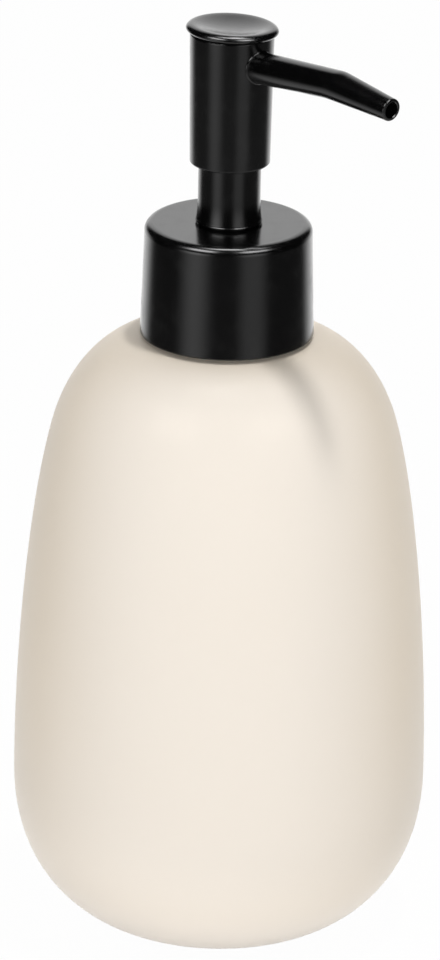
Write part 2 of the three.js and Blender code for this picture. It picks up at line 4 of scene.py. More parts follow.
import bmesh
import bpy
from bpy.props import FloatProperty, FloatVectorProperty, PointerProperty
from mathutils import Matrix, Vector


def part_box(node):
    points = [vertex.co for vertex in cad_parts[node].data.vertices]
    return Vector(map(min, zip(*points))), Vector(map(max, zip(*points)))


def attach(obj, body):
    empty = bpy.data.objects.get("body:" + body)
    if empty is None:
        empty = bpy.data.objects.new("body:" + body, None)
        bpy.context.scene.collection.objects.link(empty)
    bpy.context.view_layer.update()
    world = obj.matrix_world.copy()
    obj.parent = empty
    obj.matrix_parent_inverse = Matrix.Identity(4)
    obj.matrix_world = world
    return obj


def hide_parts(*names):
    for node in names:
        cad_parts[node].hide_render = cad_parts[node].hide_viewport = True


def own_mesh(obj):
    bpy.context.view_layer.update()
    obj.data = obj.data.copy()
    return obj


bl_info = {
    "name": "Soap Pump Dispenser",
    "version": (1, 0, 0),
    "blender": (4, 5, 0),
    "location": "View3D > Sidebar > Soap Pump",
    "description": "Builds the surfaces, materials and studio of a stoneware bottle with a lotion pump",
    "category": "Add Mesh",
}

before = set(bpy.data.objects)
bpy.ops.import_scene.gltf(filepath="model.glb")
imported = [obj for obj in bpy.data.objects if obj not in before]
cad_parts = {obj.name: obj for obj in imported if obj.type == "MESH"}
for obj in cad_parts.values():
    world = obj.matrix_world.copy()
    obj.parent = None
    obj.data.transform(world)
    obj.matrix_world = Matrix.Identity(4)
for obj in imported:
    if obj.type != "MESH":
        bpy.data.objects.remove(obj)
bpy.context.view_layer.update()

MM = 0.001
FULL_TURN = 2 * math.pi
SMOOTH_ANGLE = math.radians(38)
HEAD_RISE = 0.17 * MM  # of the head tube's rounded edge over its CAD solid


# ---- outlines

def circle(radius, count):
    """Points round the origin."""
    angles = [FULL_TURN * i / count for i in range(count)]
    return [(radius * math.cos(angle), radius * math.sin(angle)) for angle in angles]


def arc(centre, radius, start, end, steps):
    """Points on an arc from start to end, in degrees."""
    points = []
    for i in range(steps + 1):
        angle = math.radians(start + (end - start) * i / steps)
        points.append((centre[0] + radius * math.cos(angle), centre[1] + radius * math.sin(angle)))
    return points


def bezier(a, b, c, d, steps):
    """Points on a cubic curve, without its last one."""
    points = []
    for i in range(steps):
        t = i / steps
        u = 1 - t
        weights = (u**3, 3 * u * u * t, 3 * u * t * t, t**3)
        points.append(tuple(sum(w * p[k] for w, p in zip(weights, (a, b, c, d))) for k in (0, 1)))
    return points


def rounded(corners, fillet=0.0, closed=True, steps=5):
    """An outline through (radius, height) corners, rounded by the fillet that follows them, or else by
    the common one. A short straight piece next to each fillet keeps the flats flat in the shading."""
    most = 0.45  # of a side, for the fillet at one of its ends
    flat = 1.08  # of a fillet's reach, where the short straight piece starts
    points = []
    count = len(corners)
    for i, (x, y, *own) in enumerate(corners):
        here = Vector((x, y))
        size = own[0] if own else fillet
        end = not closed and i in (0, count - 1)
        if size <= 0 or end:
            points.append((x, y))
            continue
        back = Vector(corners[i - 1][:2]) - here
        ahead = Vector(corners[(i + 1) % count][:2]) - here
        half = back.angle(ahead) / 2
        reach = min(size / math.tan(half), most * min(back.length, ahead.length))
        radius = reach * math.tan(half)
        back.normalize()
        ahead.normalize()
        centre = here + (back + ahead).normalized() * (radius / math.sin(half))
        first = here + back * reach - centre
        last = here + ahead * reach - centre
        sweep = first.angle_signed(last)
        points.append(tuple(here + back * reach * flat))
        for k in range(steps + 1):
            points.append(tuple(centre + Matrix.Rotation(-sweep * k / steps, 2) @ first))
        points.append(tuple(here + ahead * reach * flat))
    return points


def slab(inner, outer, low, high):
    """The outline's corners of a ring, or of a disc if inner is 0."""
    return [(inner, low), (outer, low), (outer, high), (inner, high)]


# ---- meshes

def new_object(name, data):
    """A new object, linked to the scene."""
    thing = bpy.data.objects.new(name, data)
    bpy.context.scene.collection.objects.link(thing)
    return thing


def mesh_object(name, bm):
    """A new object from a bmesh, shaded smooth except over hard edges."""
    bmesh.ops.recalc_face_normals(bm, faces=bm.faces)
    mesh = bpy.data.meshes.new(name)
    bm.to_mesh(mesh)
    bm.free()
    mesh.shade_smooth()
    mesh.set_sharp_from_angle(angle=SMOOTH_ANGLE)
    return new_object(name, mesh)


def bridge(bm, first, second):
    """Faces between two rows of vertices. A row of one vertex is a pole, and two poles have no faces."""
    count = max(len(first), len(second))
    for i in range(count if count > 1 else 0):
        j = (i + 1) % count
        if len(first) == 1:
            bm.faces.new((first[0], second[j], second[i]))
        elif len(second) == 1:
            bm.faces.new((first[i], first[j], second[0]))
        else:
            bm.faces.new((first[i], first[j], second[j], second[i]))


def skin(name, loops, capped=False):
    """A closed solid from loops of places, each joined to the next. The last one leads round to the
    first one, or else both of them are capped."""
    bm = bmesh.new()
    rows = [[bm.verts.new(spot) for spot in loop] for loop in loops]
    for first, second in zip(rows, rows[1:] if capped else rows[1:] + rows[:1]):
        bridge(bm, first, second)
    if capped:
        bm.faces.new(rows[0])
        bm.faces.new(rows[-1][::-1])
    return mesh_object(name, bm)


def turned(name, outline, segments=128):
    """A solid turned about Z. Its outline ends on the axis or closes on itself."""
    on_axis = 1e-7
    return skin(name, [
        [(0, 0, height)] if radius < on_axis else [(x, y, height) for x, y in circle(radius, segments)]
        for radius, height in outline
    ])


def lathe(name, corners, segments=128, **options):
    """A solid turned about Z from rounded corners."""
    return turned(name, rounded(corners, **options), segments)


def swept(name, section, stations):
    """A bar with flat ends. Each station along it is a function from a section's (x, y) to a place."""
    return skin(name, [[station(x, y) for x, y in section] for station in stations], capped=True)


def coiled(name, section, turns, steps, place):
    """A bar wound about Z. place gives the (radius, height) of a section's (x, y) after some turns."""
    def station(turn):
        def put(x, y):
            radius, height = place(turn, x, y)
            return (radius * math.cos(FULL_TURN * turn), radius * math.sin(FULL_TURN * turn), height)
        return put
    return swept(name, section, [station(turns * i / steps) for i in range(steps + 1)])


def upright(name, section, low, high, angle, radius=0.0):
    """An upright bar. Its section lies that far out from Z, at an angle about it."""
    turn = Matrix.Rotation(angle, 4, "Z")

    def station(z):
        return lambda x, y: turn @ Vector((radius + x, y, z))
    return swept(name, section, [station(low), station(high)])


def join(piece, other):
    """Joins other into piece as one mesh of several closed shells."""
    bm = bmesh.new()
    bm.from_mesh(piece.data)
    bm.from_mesh(other.data)
    bm.to_mesh(piece.data)
    bm.free()
    bpy.data.objects.remove(other)
    return piece


def cut(piece, *cutters):
    """Cuts each cutter out of piece and deletes the cutter."""
    for cutter in cutters:
        modifier = piece.modifiers.new("cut", "BOOLEAN")
        modifier.operation = "DIFFERENCE"
        modifier.solver = "EXACT"
        modifier.object = cutter
        depsgraph = bpy.context.evaluated_depsgraph_get()
        mesh = bpy.data.meshes.new_from_object(piece.evaluated_get(depsgraph))
        piece.modifiers.clear()
        piece.data = mesh
        bpy.data.objects.remove(cutter)
    piece.data.shade_smooth()
    piece.data.set_sharp_from_angle(angle=SMOOTH_ANGLE)
    return piece


def span(node):
    """(radius, lowest height, highest height) of a round CAD node."""
    low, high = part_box(node)
    return high.y, low.z, high.z


# ---- material helpers

class Nodes:
    """A short way to write a node tree."""

    def __init__(self, tree):
        self.tree = tree
        tree.nodes.clear()

    def add(self, kind, inputs=None, **settings):
        """A new shader node of a kind, such as Bump, with its inputs and settings."""
        node = self.tree.nodes.new("ShaderNode" + kind)
        for key, value in settings.items():
            setattr(node, key, value)
        for key, value in (inputs or {}).items():
            self.put(node.inputs[key], value)
        return node

    def put(self, socket, value):
        """Links a socket to another one, or sets its value."""
        if isinstance(value, bpy.types.NodeSocket):
            self.tree.links.new(value, socket)
        else:
            socket.default_value = value

    def coords(self):
        return self.add("TexCoord").outputs["Object"]

    def noise(self, scale, detail=3.0, roughness=0.5):
        return self.add("TexNoise", {
            "Vector": self.coords(), "Scale": scale, "Detail": detail, "Roughness": roughness,
        }).outputs["Fac"]

    def bump(self, height, strength, distance, **more):
        inputs = {"Height": height, "Strength": strength, "Distance": distance, **more}
        return self.add("Bump", inputs).outputs[0]

    def ramp(self, value, low, high, start=0.0, end=1.0, smooth=True):
        """Goes from start to end as value goes from low to high."""
        return self.add("MapRange", {
            "Value": value, "From Min": low, "From Max": high, "To Min": start, "To Max": end,
        }, interpolation_type="SMOOTHSTEP" if smooth else "LINEAR").outputs["Result"]

    def fall(self, value, low, high):
        """Goes from 1 to 0 as value goes from low to high."""
        return self.ramp(value, low, high, 1.0, 0.0)

    def math(self, operation, a, b=0.0):
        node = self.add("Math", operation=operation)
        self.put(node.inputs[0], a)
        self.put(node.inputs[1], b)
        return node.outputs[0]

    def product(self, first, *others):
        for other in others:
            first = self.math("MULTIPLY", first, other)
        return first

    def blend(self, factor, a, b):
        """The number a where factor is 0, and b where it is 1."""
        keep = self.product(self.math("SUBTRACT", 1.0, factor), a)
        return self.math("ADD", keep, self.product(factor, b))

    def mix(self, factor, a, b):
        """The colour a where factor is 0, and b where it is 1."""
        node = self.add("Mix", data_type="RGBA")
        self.put(node.inputs["Factor"], factor)
        self.put(node.inputs[6], a)
        self.put(node.inputs[7], b)
        return node.outputs[2]


def new_material(name):
    """A new material, and its nodes."""
    material = bpy.data.materials.new(name)
    material.use_nodes = True
    return material, Nodes(material.node_tree)


def finish_material(nodes, shader):
    nodes.add("OutputMaterial", {"Surface": shader.outputs[0]})


def principled(nodes, inputs):
    """Ends a material's nodes in a principled shader."""
    finish_material(nodes, nodes.add("BsdfPrincipled", inputs))


def rgba(colour, factor=1.0):
    """A colour made lighter or darker by a factor, with an alpha of 1."""
    return (*(min(1.0, c * factor) for c in colour[:3]), 1.0)


def stoneware_glaze(settings):
    """Matte cream glaze: faint clouding and a fine orange-peel skin, with painted shade where it turns away
    from view and painted floor bounce light at the foot.
    """
    material, n = new_material("stoneware_glaze")
    height = n.add("SeparateXYZ", {"Vector": n.coords()}).outputs["Z"]
    band = settings.foot_band
    clouds = n.ramp(n.noise(18, 4), 0.35, 0.65)
    cloud_share = 0.03
    grain = n.noise(1400, 2)
    facing = n.add("LayerWeight", {"Blend": 0.5}).outputs["Facing"]
    # Painted shade: the glaze turns darker and warmer where the surface turns away from view, faded out near
    # the foot.
    edge_shade_share = n.product(n.ramp(facing, 0.1, 0.65), n.ramp(height, 0.0, band * 4))
    glaze = n.mix(edge_shade_share, rgba(settings.glaze_colour), rgba(settings.edge_shade_colour))
    tint = n.mix(clouds, glaze, n.mix(cloud_share, glaze, (1, 1, 1, 1)))
    # Painted light: a lighter glaze tone towards the foot stands in for light bounced up from the floor.
    colour = n.mix(n.fall(height, 0.0, band), tint, rgba(settings.foot_bounce_light_colour))
    spread = 0.05
    roughness = n.ramp(grain, 0.3, 0.7, settings.glaze_roughness - spread, settings.glaze_roughness + spread)
    fine = n.bump(grain, 0.06, 0.08 * MM)
    broad = n.bump(n.noise(60, 2), 0.08, 0.6 * MM, Normal=fine)
    principled(n, {
        "Base Color": colour, "Roughness": roughness, "Normal": broad,
        "Specular IOR Level": n.ramp(height, 0.0, band * 2, 0.02, 0.13),
        "Coat Weight": n.ramp(height, 0.0, band * 2, 0.0, settings.glaze_sheen),
        "Coat Roughness": 0.18, "Coat Normal": broad,
    })
    return material


def black_plastic(settings):
    """Satin black plastic: faint moulding texture, handling marks and a few dust specks."""
    material, n = new_material("satin_black_plastic")
    marks = n.ramp(n.noise(260, 5, 0.6), 0.45, 0.75)
    mark_roughness = 0.08
    roughness = n.math("ADD", n.product(marks, mark_roughness), settings.plastic_roughness)
    cells = n.add("TexVoronoi", {"Vector": n.coords(), "Scale": 190.0, "Randomness": 1.0})
    cell_number = n.add("SeparateColor", {"Color": cells.outputs["Color"]}).outputs[0]
    empty_share = 0.955  # of the cells; each of the others has a speck at its middle
    chosen = n.math("GREATER_THAN", cell_number, empty_share)
    specks = n.product(n.fall(cells.outputs["Distance"], 0.03, 0.06), chosen)
    principled(n, {
        "Base Color": n.mix(specks, rgba(settings.plastic_colour), rgba(settings.dust_colour)),
        "Roughness": roughness, "Normal": n.bump(n.noise(4200, 2), 0.12, 0.02 * MM), "IOR": 1.5,
    })
    return material


def natural_plastic(settings):
    """Unpigmented plastic: milky, slightly glossy, with faint flow lines."""
    material, n = new_material("natural_plastic")
    flow = n.noise(90, 3)
    principled(n, {
        "Base Color": n.mix(flow, rgba(settings.natural_colour, 0.96), rgba(settings.natural_colour, 1.03)),
        "Roughness": n.ramp(flow, 0.3, 0.7, 0.32, 0.45), "Normal": n.bump(n.noise(2500, 2), 0.08, 0.03 * MM),
        "Subsurface Weight": 0.15, "Subsurface Scale": 2.0 * MM,
    })
    return material


def seal_plastic(settings):
    """Soft sealing plastic: duller than the moulded parts, with a fine mottle."""
    material, n = new_material("soft_seal")
    mottle = n.noise(700, 3)
    principled(n, {
        "Base Color": n.mix(mottle, rgba(settings.seal_colour, 0.94), rgba(settings.seal_colour, 1.04)),
        "Roughness": n.ramp(mottle, 0.3, 0.7, 0.5, 0.65),
    })
    return material


def drawn_steel(settings):
    """Drawn stainless wire: fine scratches in the roughness."""
    material, n = new_material("drawn_steel")
    scratches = n.noise(3000, 4)
    principled(n, {
        "Base Color": n.mix(scratches, rgba(settings.steel_colour, 0.92), rgba(settings.steel_colour, 1.05)),
        "Metallic": 1.0, "Roughness": n.ramp(scratches, 0.3, 0.7, 0.22, 0.38),
    })
    return material


MAKERS = {
    "stoneware": stoneware_glaze,
    "black_plastic": black_plastic,
    "natural_plastic": natural_plastic,
    "seal_plastic": seal_plastic,
    "spring_steel": drawn_steel,
}
made = {}


def material_for(slot):
    """The material of a slot, made once."""
    if slot not in made:
        made[slot] = MAKERS[slot](bpy.context.scene.soap_pump_finish)
    return made[slot]


def fit(piece, body, slot, *nodes):
    """Gives a finished piece its material and its body, and hides the CAD nodes that it stands for."""
    piece.data.materials.clear()
    piece.data.materials.append(material_for(slot))
    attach(piece, body)
    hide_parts(*nodes)


# ---- settings

def number(**limits):
    """A maker of number properties that share their limits and unit."""
    def make(name, description, default, **own):
        return FloatProperty(name=name, description=description, default=default, **{**limits, **own})
    return make


length = number(min=0.0, unit="LENGTH", precision=5)
weight = number(min=0.0, max=1.0, subtype="FACTOR")
amount = number(min=0.0)


def tilt(name, description, degrees):
    return FloatProperty(name=name, description=description, default=math.radians(degrees), subtype="ANGLE")


def swatch(name, description, default):
    return FloatVectorProperty(name=name, description=description, default=default, size=3, min=0.0,
                               max=1.0, subtype="COLOR")


class SoapPumpBottleSettings(bpy.types.PropertyGroup):
    """The bottle's outline, apart from its height and width, which the frame gives."""
    foot_radius: length("Foot radius", "Radius of the flat base", 0.0173)
    belly_height: length("Belly height", "Height of the widest place", 0.0312)
    shoulder_radius: length("Shoulder radius", "Radius where the flank turns into the shoulder", 0.034)
    shoulder_drop: length("Shoulder drop", "From the rim down to the turn of the shoulder", 0.0188)
    shoulder_lean: tilt("Shoulder lean", "How far the flank leans in at the shoulder", 14.7)
    wall: length("Wall", "Thickness of the bottle's wall", 0.0042)
    floor: length("Floor", "Thickness of the bottle's floor", 0.005)
    rim_fillet: length("Mouth edge", "Rounding of the mouth's edges", 0.0006)


class SoapPumpPumpSettings(bpy.types.PropertyGroup):
    """Roundings and small steps of the pump's visible parts."""
    shell_wall: length("Collar wall", "Wall of the outer collar", 0.0011)
    shell_taper: length("Collar taper", "How much slimmer the collar is at its top", 0.00066)
    shell_fillet: length("Collar edge", "Rounding of the collar's top edge", 0.0017)
    sleeve_foot: length("Sleeve foot", "How far the sleeve's foot flares out", 0.00042)
    sleeve_foot_height: length("Sleeve foot height", "Height of the sleeve's flare", 0.0046)
    head_edge: length("Head edge", "Rounding of the head tube's ends", 0.0004)
    disc_dish: length("Thumb dish", "Depth of the dish in the press pad", 0.00095)
    disc_round: length("Pad edge", "Rounding where the press pad's face turns over", 0.00135)
    disc_slope: length("Pad slope", "Rounding of the slope below that", 0.00135)
    disc_lip: length("Pad lip", "Rounding of the pad's lower lip", 0.0005)
    disc_lean: tilt("Pad lean", "How far the press pad leans", 2.5)
    disc_lean_azimuth: tilt("Pad lean azimuth", "Where the press pad leans, from the spout", 76)


class SoapPumpSpoutSettings(bpy.types.PropertyGroup):
    """The spout's sizes along its axis."""
    root_radius: length("Root radius", "Outer radius at the head", 0.00315)
    bend_radius: length("Bend radius", "Outer radius at the crease", 0.00293)
    tip_radius: length("Tip radius", "Outer radius at the tip", 0.00225)
    bore_radius: length("Bore radius", "Radius of the channel", 0.00155)
    first_length: length("First length", "From the head's axis to the crease", 0.0291)
    last_length: length("Last length", "From the crease to the tip", 0.01555)
    rise: tilt("Rise", "How far the first stretch points up", 4.9)
    bend: tilt("Bend", "How far the last stretch turns down", 9.2)
    root_bead: length("Root bead", "Radius of the bead where the spout leaves the head", 0.00024)
    crease_round: length("Crease rounding", "How far from the crease its rounding starts", 0.0012)
    crease_slant: amount("Crease slant", "Lean of the crease, per unit of height", 0.68, min=-2.0)


class SoapPumpFinishSettings(bpy.types.PropertyGroup):
    """Colours and gloss."""
    glaze_colour: swatch("Glaze", "Colour of the bottle", (0.905, 0.832, 0.742))
    # Painted shade: the darker, warmer tone where the bottle turns away from view, not the glaze's own
    # colour.
    edge_shade_colour: swatch("Glaze edge", "Colour of the bottle where it turns away", (0.885, 0.787, 0.66))
    # Painted light: a lighter tone at the foot that stands in for bounce light from the floor, not a thicker
    # glaze.
    foot_bounce_light_colour: swatch("Foot", "Colour of the thicker glaze at the foot", (0.945, 0.888, 0.822))
    foot_band: length("Foot band", "Height over which the foot's tone fades", 0.016)
    glaze_roughness: weight("Glaze roughness", "How matte the glaze is", 0.5)
    glaze_sheen: weight("Glaze sheen", "Weight of the thin glossy top layer", 0.06)
    plastic_colour: swatch("Black plastic", "Colour of the pump", (0.0018, 0.0018, 0.0019))
    plastic_roughness: weight("Plastic roughness", "How satin the pump is", 0.19)
    dust_colour: swatch("Dust", "Colour of the specks on the pump", (0.16, 0.155, 0.15))
    natural_colour: swatch("Natural plastic", "Colour of the inner mouldings", (0.80, 0.80, 0.77))
    seal_colour: swatch("Seal", "Colour of gasket and piston", (0.66, 0.67, 0.66))
    steel_colour: swatch("Steel", "Colour of spring and ball", (0.62, 0.63, 0.65))


class SoapPumpStageSettings(bpy.types.PropertyGroup):
    """Camera and light. Powers are in watts; a gloss is what shiny surfaces mirror of something."""
    azimuth: tilt("Azimuth", "Camera's turn about the bottle, from the front", 47)
    pitch: tilt("Pitch", "How far the camera looks down", 20.94)
    roll: tilt("Roll", "Camera's roll", 1.05)
    distance: length("Distance", "From the camera to the aim point", 1.5)
    aim_height: length("Aim height", "Height that the camera looks at", 0.09191)
    aim_offset: length("Aim offset", "How far the aim lies beside the axis", -0.00078, min=-1.0)
    lens: amount("Lens", "Focal length on a 36 mm sensor, in mm", 285.7)
    ambient_front: amount("Ambient front", "Soft light from the camera's side", 0.08)
    ambient_back: amount("Ambient back", "Soft light from behind", 0.74)
    front_power: amount("Front", "Power of the low front light", 13.5)
    left_power: amount("Left", "Power of the left light", 0.94)
    side_power: amount("Side", "Power of the far left light", 0.6)
    right_power: amount("Right", "Power of the far right light", 0.45)
    top_power: amount("Top", "Power of the overhead light", 4.4)
    backdrop_gloss: amount("Backdrop gloss", "Mirrored backdrop", 1.42)
    panel_gloss: amount("Panel gloss", "Mirrored side panels", 12.0)
    window_gloss: amount("Window gloss", "Mirrored glow near the horizon", 2.75)
    table_gloss: amount("Table gloss", "Mirrored table near the bottle", 0.8)
    front_gloss: amount("Front gloss", "Mirrored faint glow from the front", 0.025)
    lamp_gloss: amount("Lamp gloss", "Mirrored small lamp overhead", 20.0)
    top_gloss: amount("Top gloss", "Mirrored overhead strip", 14.0)


# ---- bottle

def bottle_outline(settings, radius, rim_height, rim_radius, steps):
    """Half outline from the foot's edge to the flat rim, from three cubic curves."""
    foot_pull, belly_drop = 0.266, 0.225  # how far the handles reach along the curve below the belly,
    belly_rise, flank_drop = 0.366, 0.226  # along the flank
    shoulder_rise, rim_pull = 0.567, 0.507  # and along the shoulder, as shares of each
    foot = settings.foot_radius
    belly = settings.belly_height
    shoulder_height = rim_height - settings.shoulder_drop
    flank = shoulder_height - belly
    shoulder = Vector((settings.shoulder_radius, shoulder_height))
    lean = Vector((-math.sin(settings.shoulder_lean), math.cos(settings.shoulder_lean)))
    below = shoulder - lean * (flank_drop * flank)
    above = shoulder + lean * (shoulder_rise * settings.shoulder_drop)
    beside_rim = (rim_radius + rim_pull * (settings.shoulder_radius - rim_radius), rim_height)
    widest = (radius, belly)
    points = bezier((foot, 0), (foot + foot_pull * (radius - foot), 0), (radius, belly_drop * belly), widest,
                    steps)
    points += bezier(widest, (radius, belly + belly_rise * flank), below, shoulder, steps)
    points += bezier(shoulder, above, beside_rim, (rim_radius, rim_height), steps)
    return points + [(rim_radius, rim_height)]


def inset(points, depth, floor, mouth):
    """The outline moved inwards, kept above the floor and outside the mouth."""
    moved = []
    for before, here, after in zip(points, points[1:], points[2:]):
        along = (Vector(after) - Vector(before)).normalized()
        spot = Vector(here) + Vector((-along.y, along.x)) * depth
        if spot.y > floor and spot.x > mouth:
            moved.append(tuple(spot))
    return moved


def build_bottle(settings):
    """The bottle as one closed wall: outside, mouth and inside."""
    radius, _, rim = span("bottle")
    flange_radius = span("neck_ring")[0]
    glue_gap = 0.25 * MM
    mouth = 12.4 * MM
    flat = 0.97 * settings.foot_radius  # keeps the base flat up to its edge in the shading
    outside = bottle_outline(settings, radius, rim, flange_radius + glue_gap, 28)
    inside = inset(outside, settings.wall, settings.floor, mouth)
    mouth_edge = rounded([
        (outside[-1][0], rim), (mouth, rim), (mouth, rim - settings.wall), inside[-1],
    ], settings.rim_fillet, closed=False)
    profile = [(0, 0), (flat, 0)] + outside[:-1] + mouth_edge
    profile += list(reversed(inside[:-1]))
    profile += [(inside[0][0] - settings.wall / 2, settings.floor), (0, settings.floor)]
    fit(turned("bottle_body", profile, 192), "bottle_body", "stoneware", "bottle")


# ---- neck and collar

THREAD_DEPTH = 1.2 * MM
THREAD_LEAD = 4.23 * MM
THREAD_TURNS = 1.5


def thread(name, root, start, side):
    """The ridge of a thread, outside (side 1) or inside (side -1) a root cylinder."""
    embed = 0.2 * MM
    half_root = 1.1 * MM
    half_crest = 0.5 * MM
    corner, corner_half, flat_half = THREAD_DEPTH * 0.85, half_crest * 1.15, half_crest * 0.7
    section = [
        (-embed, -half_root), (0, -half_root), (corner, -corner_half), (THREAD_DEPTH, -flat_half),
        (THREAD_DEPTH, flat_half), (corner, corner_half), (0, half_root), (-embed, half_root),
    ]
    lowest = 0.1  # share of the ridge's depth that its ends start with
    run_in = 0.1  # turns over which each end rises

    def place(turn, x, y):
        rise = min(1.0, lowest + min(turn, THREAD_TURNS - turn) / run_in)
        return root + side * (x * rise if x > 0 else x), start + y + THREAD_LEAD * turn
    return coiled(name, section, THREAD_TURNS, 120, place)


def thread_start():
    """Height at which the neck's thread starts, so that it ends below the neck's top."""
    clear, half_ridge = 2.2 * MM, 1.0 * MM
    return span("neck_ring")[2] - clear - THREAD_LEAD * THREAD_TURNS - half_ridge


def build_neck():
    """The threaded insert in the bottle's mouth."""
    flange, bottom, top = span("neck_ring")
    rim = span("bottle")[2]
    bore, plug, root = 10.4 * MM, 12.15 * MM, 12.55 * MM
    thick = 1.5 * MM
    body = lathe("neck_insert", [
        (bore, bottom), (plug, bottom), (plug, rim, 0), (flange, rim, 0),
        (flange, rim + thick), (root, rim + thick), (root, top, 0.6 * MM), (bore, top),
    ], fillet=0.25 * MM)
    ridge = thread("neck_thread", root, thread_start(), 1)
    fit(join(body, ridge), "bottle_body", "natural_plastic", "neck_ring")


def build_gasket():
    """The ring between neck and pump."""
    radius, bottom, top = span("neck_gasket")
    bore = 7.6 * MM
    ring = lathe("mouth_gasket", slab(bore, radius, bottom, top), fillet=0.2 * MM)
    fit(ring, "pump_body", "seal_plastic", "neck_gasket")


def build_closure():
    """The ribbed screw cap under the collar."""
    radius, bottom, top = span("closure")
    bore, hole, panel = 14.1 * MM, 6.1 * MM, 1.6 * MM
    below_neck = 1.7 * MM  # of the cap's thread, so that it lies under the neck's
    rib_low, rib_high = bottom + 0.5 * MM, top - 1.2 * MM
    body = lathe("screw_cap", [
        (bore, bottom, 0.2 * MM), (radius, bottom, 0.2 * MM), (radius, top, 0.5 * MM),
        (hole, top, 0.2 * MM), (hole, top - panel, 0.2 * MM), (bore, top - panel, 0.4 * MM),
    ])
    join(body, thread("cap_thread", bore, thread_start() - below_neck, -1))
    ribs = 24
    for i in range(ribs):
        join(body, grip_rib(radius, rib_low, rib_high, FULL_TURN * i / ribs))
    fit(body, "screw_collar", "natural_plastic", "closure")


def grip_rib(radius, low, high, angle):
    """A low upright rib on the closure's skirt."""
    half = 0.5 * MM
    depth = 0.12 * MM
    embed = depth * 3
    section = [(-embed, -half), (0, -half), (depth, 0), (0, half), (-embed, half)]
    return upright("rib", section, low, high, angle, radius)


def build_collar_shell(settings):
    """The smooth black collar over the screw cap."""
    radius, bottom, top = span("collar_shell")
    wall = settings.shell_wall
    top_radius = radius - settings.shell_taper
    hole, thick = 6.12 * MM, 1.48 * MM
    shell = lathe("outer_collar", [
        (radius - wall, bottom, 0.12 * MM), (radius, bottom, 0.3 * MM),
        (top_radius, top, settings.shell_fillet), (hole, top, 0.15 * MM),
        (hole, top - thick, 0.1 * MM), (top_radius - wall, top - thick, 0.4 * MM),
    ], 192, steps=10)
    fit(shell, "screw_collar", "black_plastic", "collar_shell")


def build_sleeve(settings):
    """The black guide above the collar, which flares out at its foot."""
    foot_radius, bottom, top = span("guide_sleeve")
    foot = span("collar_shell")[2] + 0.5 * MM
    lip_radius, lip_top = foot_radius + 0.18 * MM, foot + 0.12 * MM
    radius = lip_radius - settings.sleeve_foot
    flare = settings.sleeve_foot * 0.7  # how far it still stands out above its lip
    shank, bore = radius - 0.2 * MM, foot_radius - 1.15 * MM
    guide, guide_top = 4.1 * MM, bottom + 3.0 * MM
    start, end = foot + 0.34 * MM, foot + settings.sleeve_foot_height
    outline = rounded([
        (guide, bottom), (shank, bottom, 0.2 * MM), (shank, foot), (lip_radius, foot, 0.04 * MM),
        (lip_radius, lip_top), (radius + flare, start),
    ], closed=False)[:-1]
    near_ends = (0.15, 0.85)  # shares of the slope, where points keep it straight in the shading
    lip_edge = Vector((lip_radius, lip_top))
    outline += [tuple(lip_edge.lerp((radius + flare, start), share)) for share in near_ends]
    middle = (start + end) / 2
    outline += bezier((radius + flare, start), (radius + flare / 3, start / 3 + 2 * middle / 3),
                      (radius, end / 3 + 2 * middle / 3), (radius, end), 12)
    outline += rounded([
        (radius, end), (radius, top, 0.3 * MM), (bore, top, 0.1 * MM), (bore, guide_top, 0.2 * MM),
        (guide, guide_top, 0.1 * MM), (guide, bottom),
    ], closed=False)[:-1]
    fit(turned("head_guide", outline), "pump_body", "black_plastic", "guide_sleeve")


# ---- pump

def build_housing():
    """The pump barrel, from its flange down to the dip tube's socket."""
    flange, bottom, top = span("pump_housing")
    ledge = span("guide_sleeve")[1] - 0.3 * MM
    cage = span("ball_cage")[1]
    tube_top = span("dip_tube")[2] + 0.1 * MM
    _, ball_low, ball_high = span("inlet_ball")
    cone = (ball_low + ball_high) / 2 - 2.0 * MM
    under = span("neck_gasket")[2]
    neck, barrel, shoulder, nose = 7.3 * MM, 6.6 * MM, 4.6 * MM, 4.3 * MM
    counterbore, bore, chamber, inlet, socket = 6.1 * MM, 5.4 * MM, 3.4 * MM, 1.7 * MM, 3.1 * MM
    cone_top, wall = cone + 1.7 * MM, 1.2 * MM
    body = lathe("pump_barrel", [
        (counterbore, top), (flange, top), (flange, under), (neck, under),
        (neck, ledge - wall), (barrel, ledge - 2 * wall), (barrel, cage - wall),
        (shoulder, cage - 2 * wall), (nose, cone), (nose, bottom), (socket, bottom),
        (socket, tube_top), (inlet, tube_top), (inlet, cone), (chamber, cone_top),
        (chamber, cage), (bore, cage), (bore, ledge), (counterbore, ledge),
    ], 96, fillet=0.15 * MM, steps=3)
    fit(body, "pump_body", "natural_plastic", "pump_housing")


def build_ball_cage():
    """The disc over the valve ball, with four holes."""
    radius, bottom, top = span("ball_cage")
    disc = lathe("cage_disc", slab(0, radius, bottom, top), 96, fillet=0.2 * MM, closed=False)
    hole = 1.15 * MM
    cutters = []
    for x, y in circle(radius / 2, 4):
        cutter = turned("hole", slab(0, hole, bottom - MM, top + MM), 32)
        cutter.data.transform(Matrix.Translation((x, y, 0)))
        cutters.append(cutter)
    fit(cut(disc, *cutters), "pump_body", "natural_plastic", "ball_cage")


def build_ball():
    """The inlet valve's steel ball."""
    radius, bottom, top = span("inlet_ball")
    ball = turned("valve_ball", arc((0, (bottom + top) / 2), radius, -90, 90, 32), 48)
    fit(ball, "valve_ball", "spring_steel", "inlet_ball")


